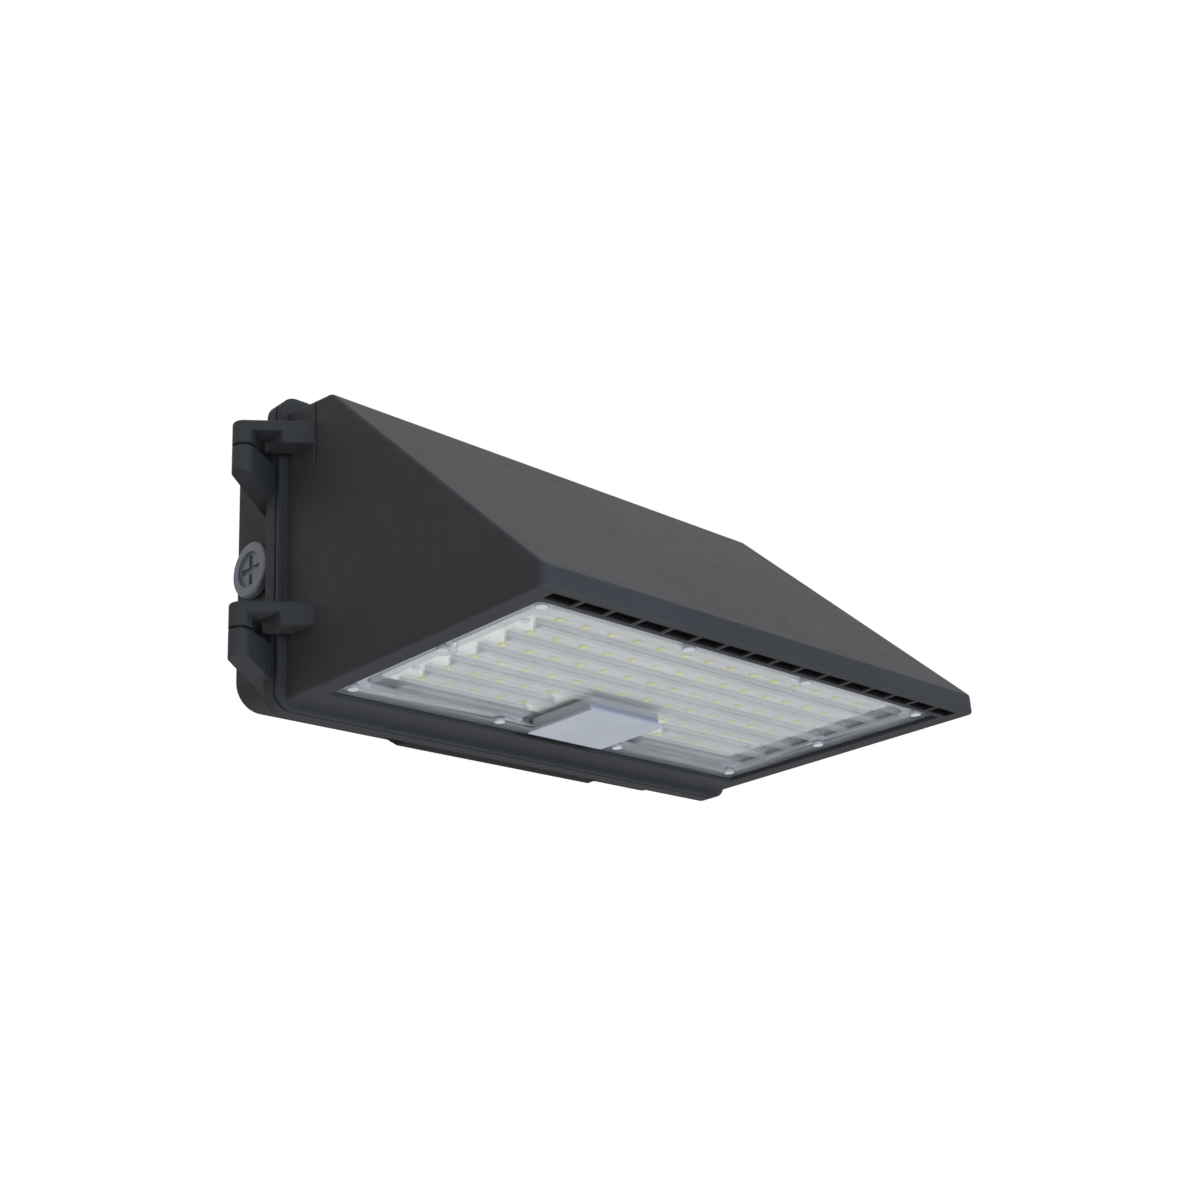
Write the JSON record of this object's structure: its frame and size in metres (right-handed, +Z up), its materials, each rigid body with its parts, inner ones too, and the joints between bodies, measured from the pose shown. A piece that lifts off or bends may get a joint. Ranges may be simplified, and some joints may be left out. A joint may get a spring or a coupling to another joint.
{
  "type": "security wall light",
  "caption": "Full cut-off security wall light: cast back box on the wall, hinged wedge housing with a clear downward lens over LED rows and vents behind its front lip.",
  "frame": {"origin": "on the wall plane, at the centre of the four wall fixing holes in the back box's rear face", "axes": "+X to the viewer's right, +Y into the wall, +Z up; the light stands out towards -Y"},
  "size_m": [0.4039, 0.2592, 0.189],
  "materials": {
    "cast_paint": "dark grey powder coat",
    "seal_rubber": "matt black silicone",
    "seal_pale": "pale grey silicone",
    "plug_grey": "grey powder coat",
    "fastener_steel": "plain zinc",
    "terminal_plastic": "moulded",
    "brass_screw": "plain",
    "lens_clear": "clear moulded",
    "board_white": "white solder mask",
    "led_phosphor": "phosphor",
    "sensor_grey": "fine texture",
    "driver_metal": "plain"
  },
  "bodies": {
    "box": {"back_box": "cast_paint", "box_seal": "seal_rubber", "entry_plug_left": "plug_grey", "entry_plug_right": "plug_grey", "entry_seal_left": "seal_rubber", "entry_seal_right": "seal_rubber", "hinge_pins": "fastener_steel", "terminal_block": "terminal_plastic", "terminal_screws": "brass_screw", "earth_screw": "brass_screw"},
    "door": {"front_housing": "cast_paint", "lens_cover": "lens_clear", "lens_gasket": "seal_pale", "lens_screws": "fastener_steel", "led_board": "board_white", "led_chips": "led_phosphor", "board_screws": "fastener_steel", "sensor_cover": "sensor_grey", "driver_plate": "driver_metal", "driver_case": "driver_metal", "driver_screws": "fastener_steel", "door_screws": "fastener_steel"}
  },
  "joints": [
    {"name": "door_hinge", "type": "hinge", "parent": "box", "child": "door", "pos_m": [-0.203, -0.053, 0], "axis": [0, 0, -1], "range_deg": [0, 100]}
  ]
}
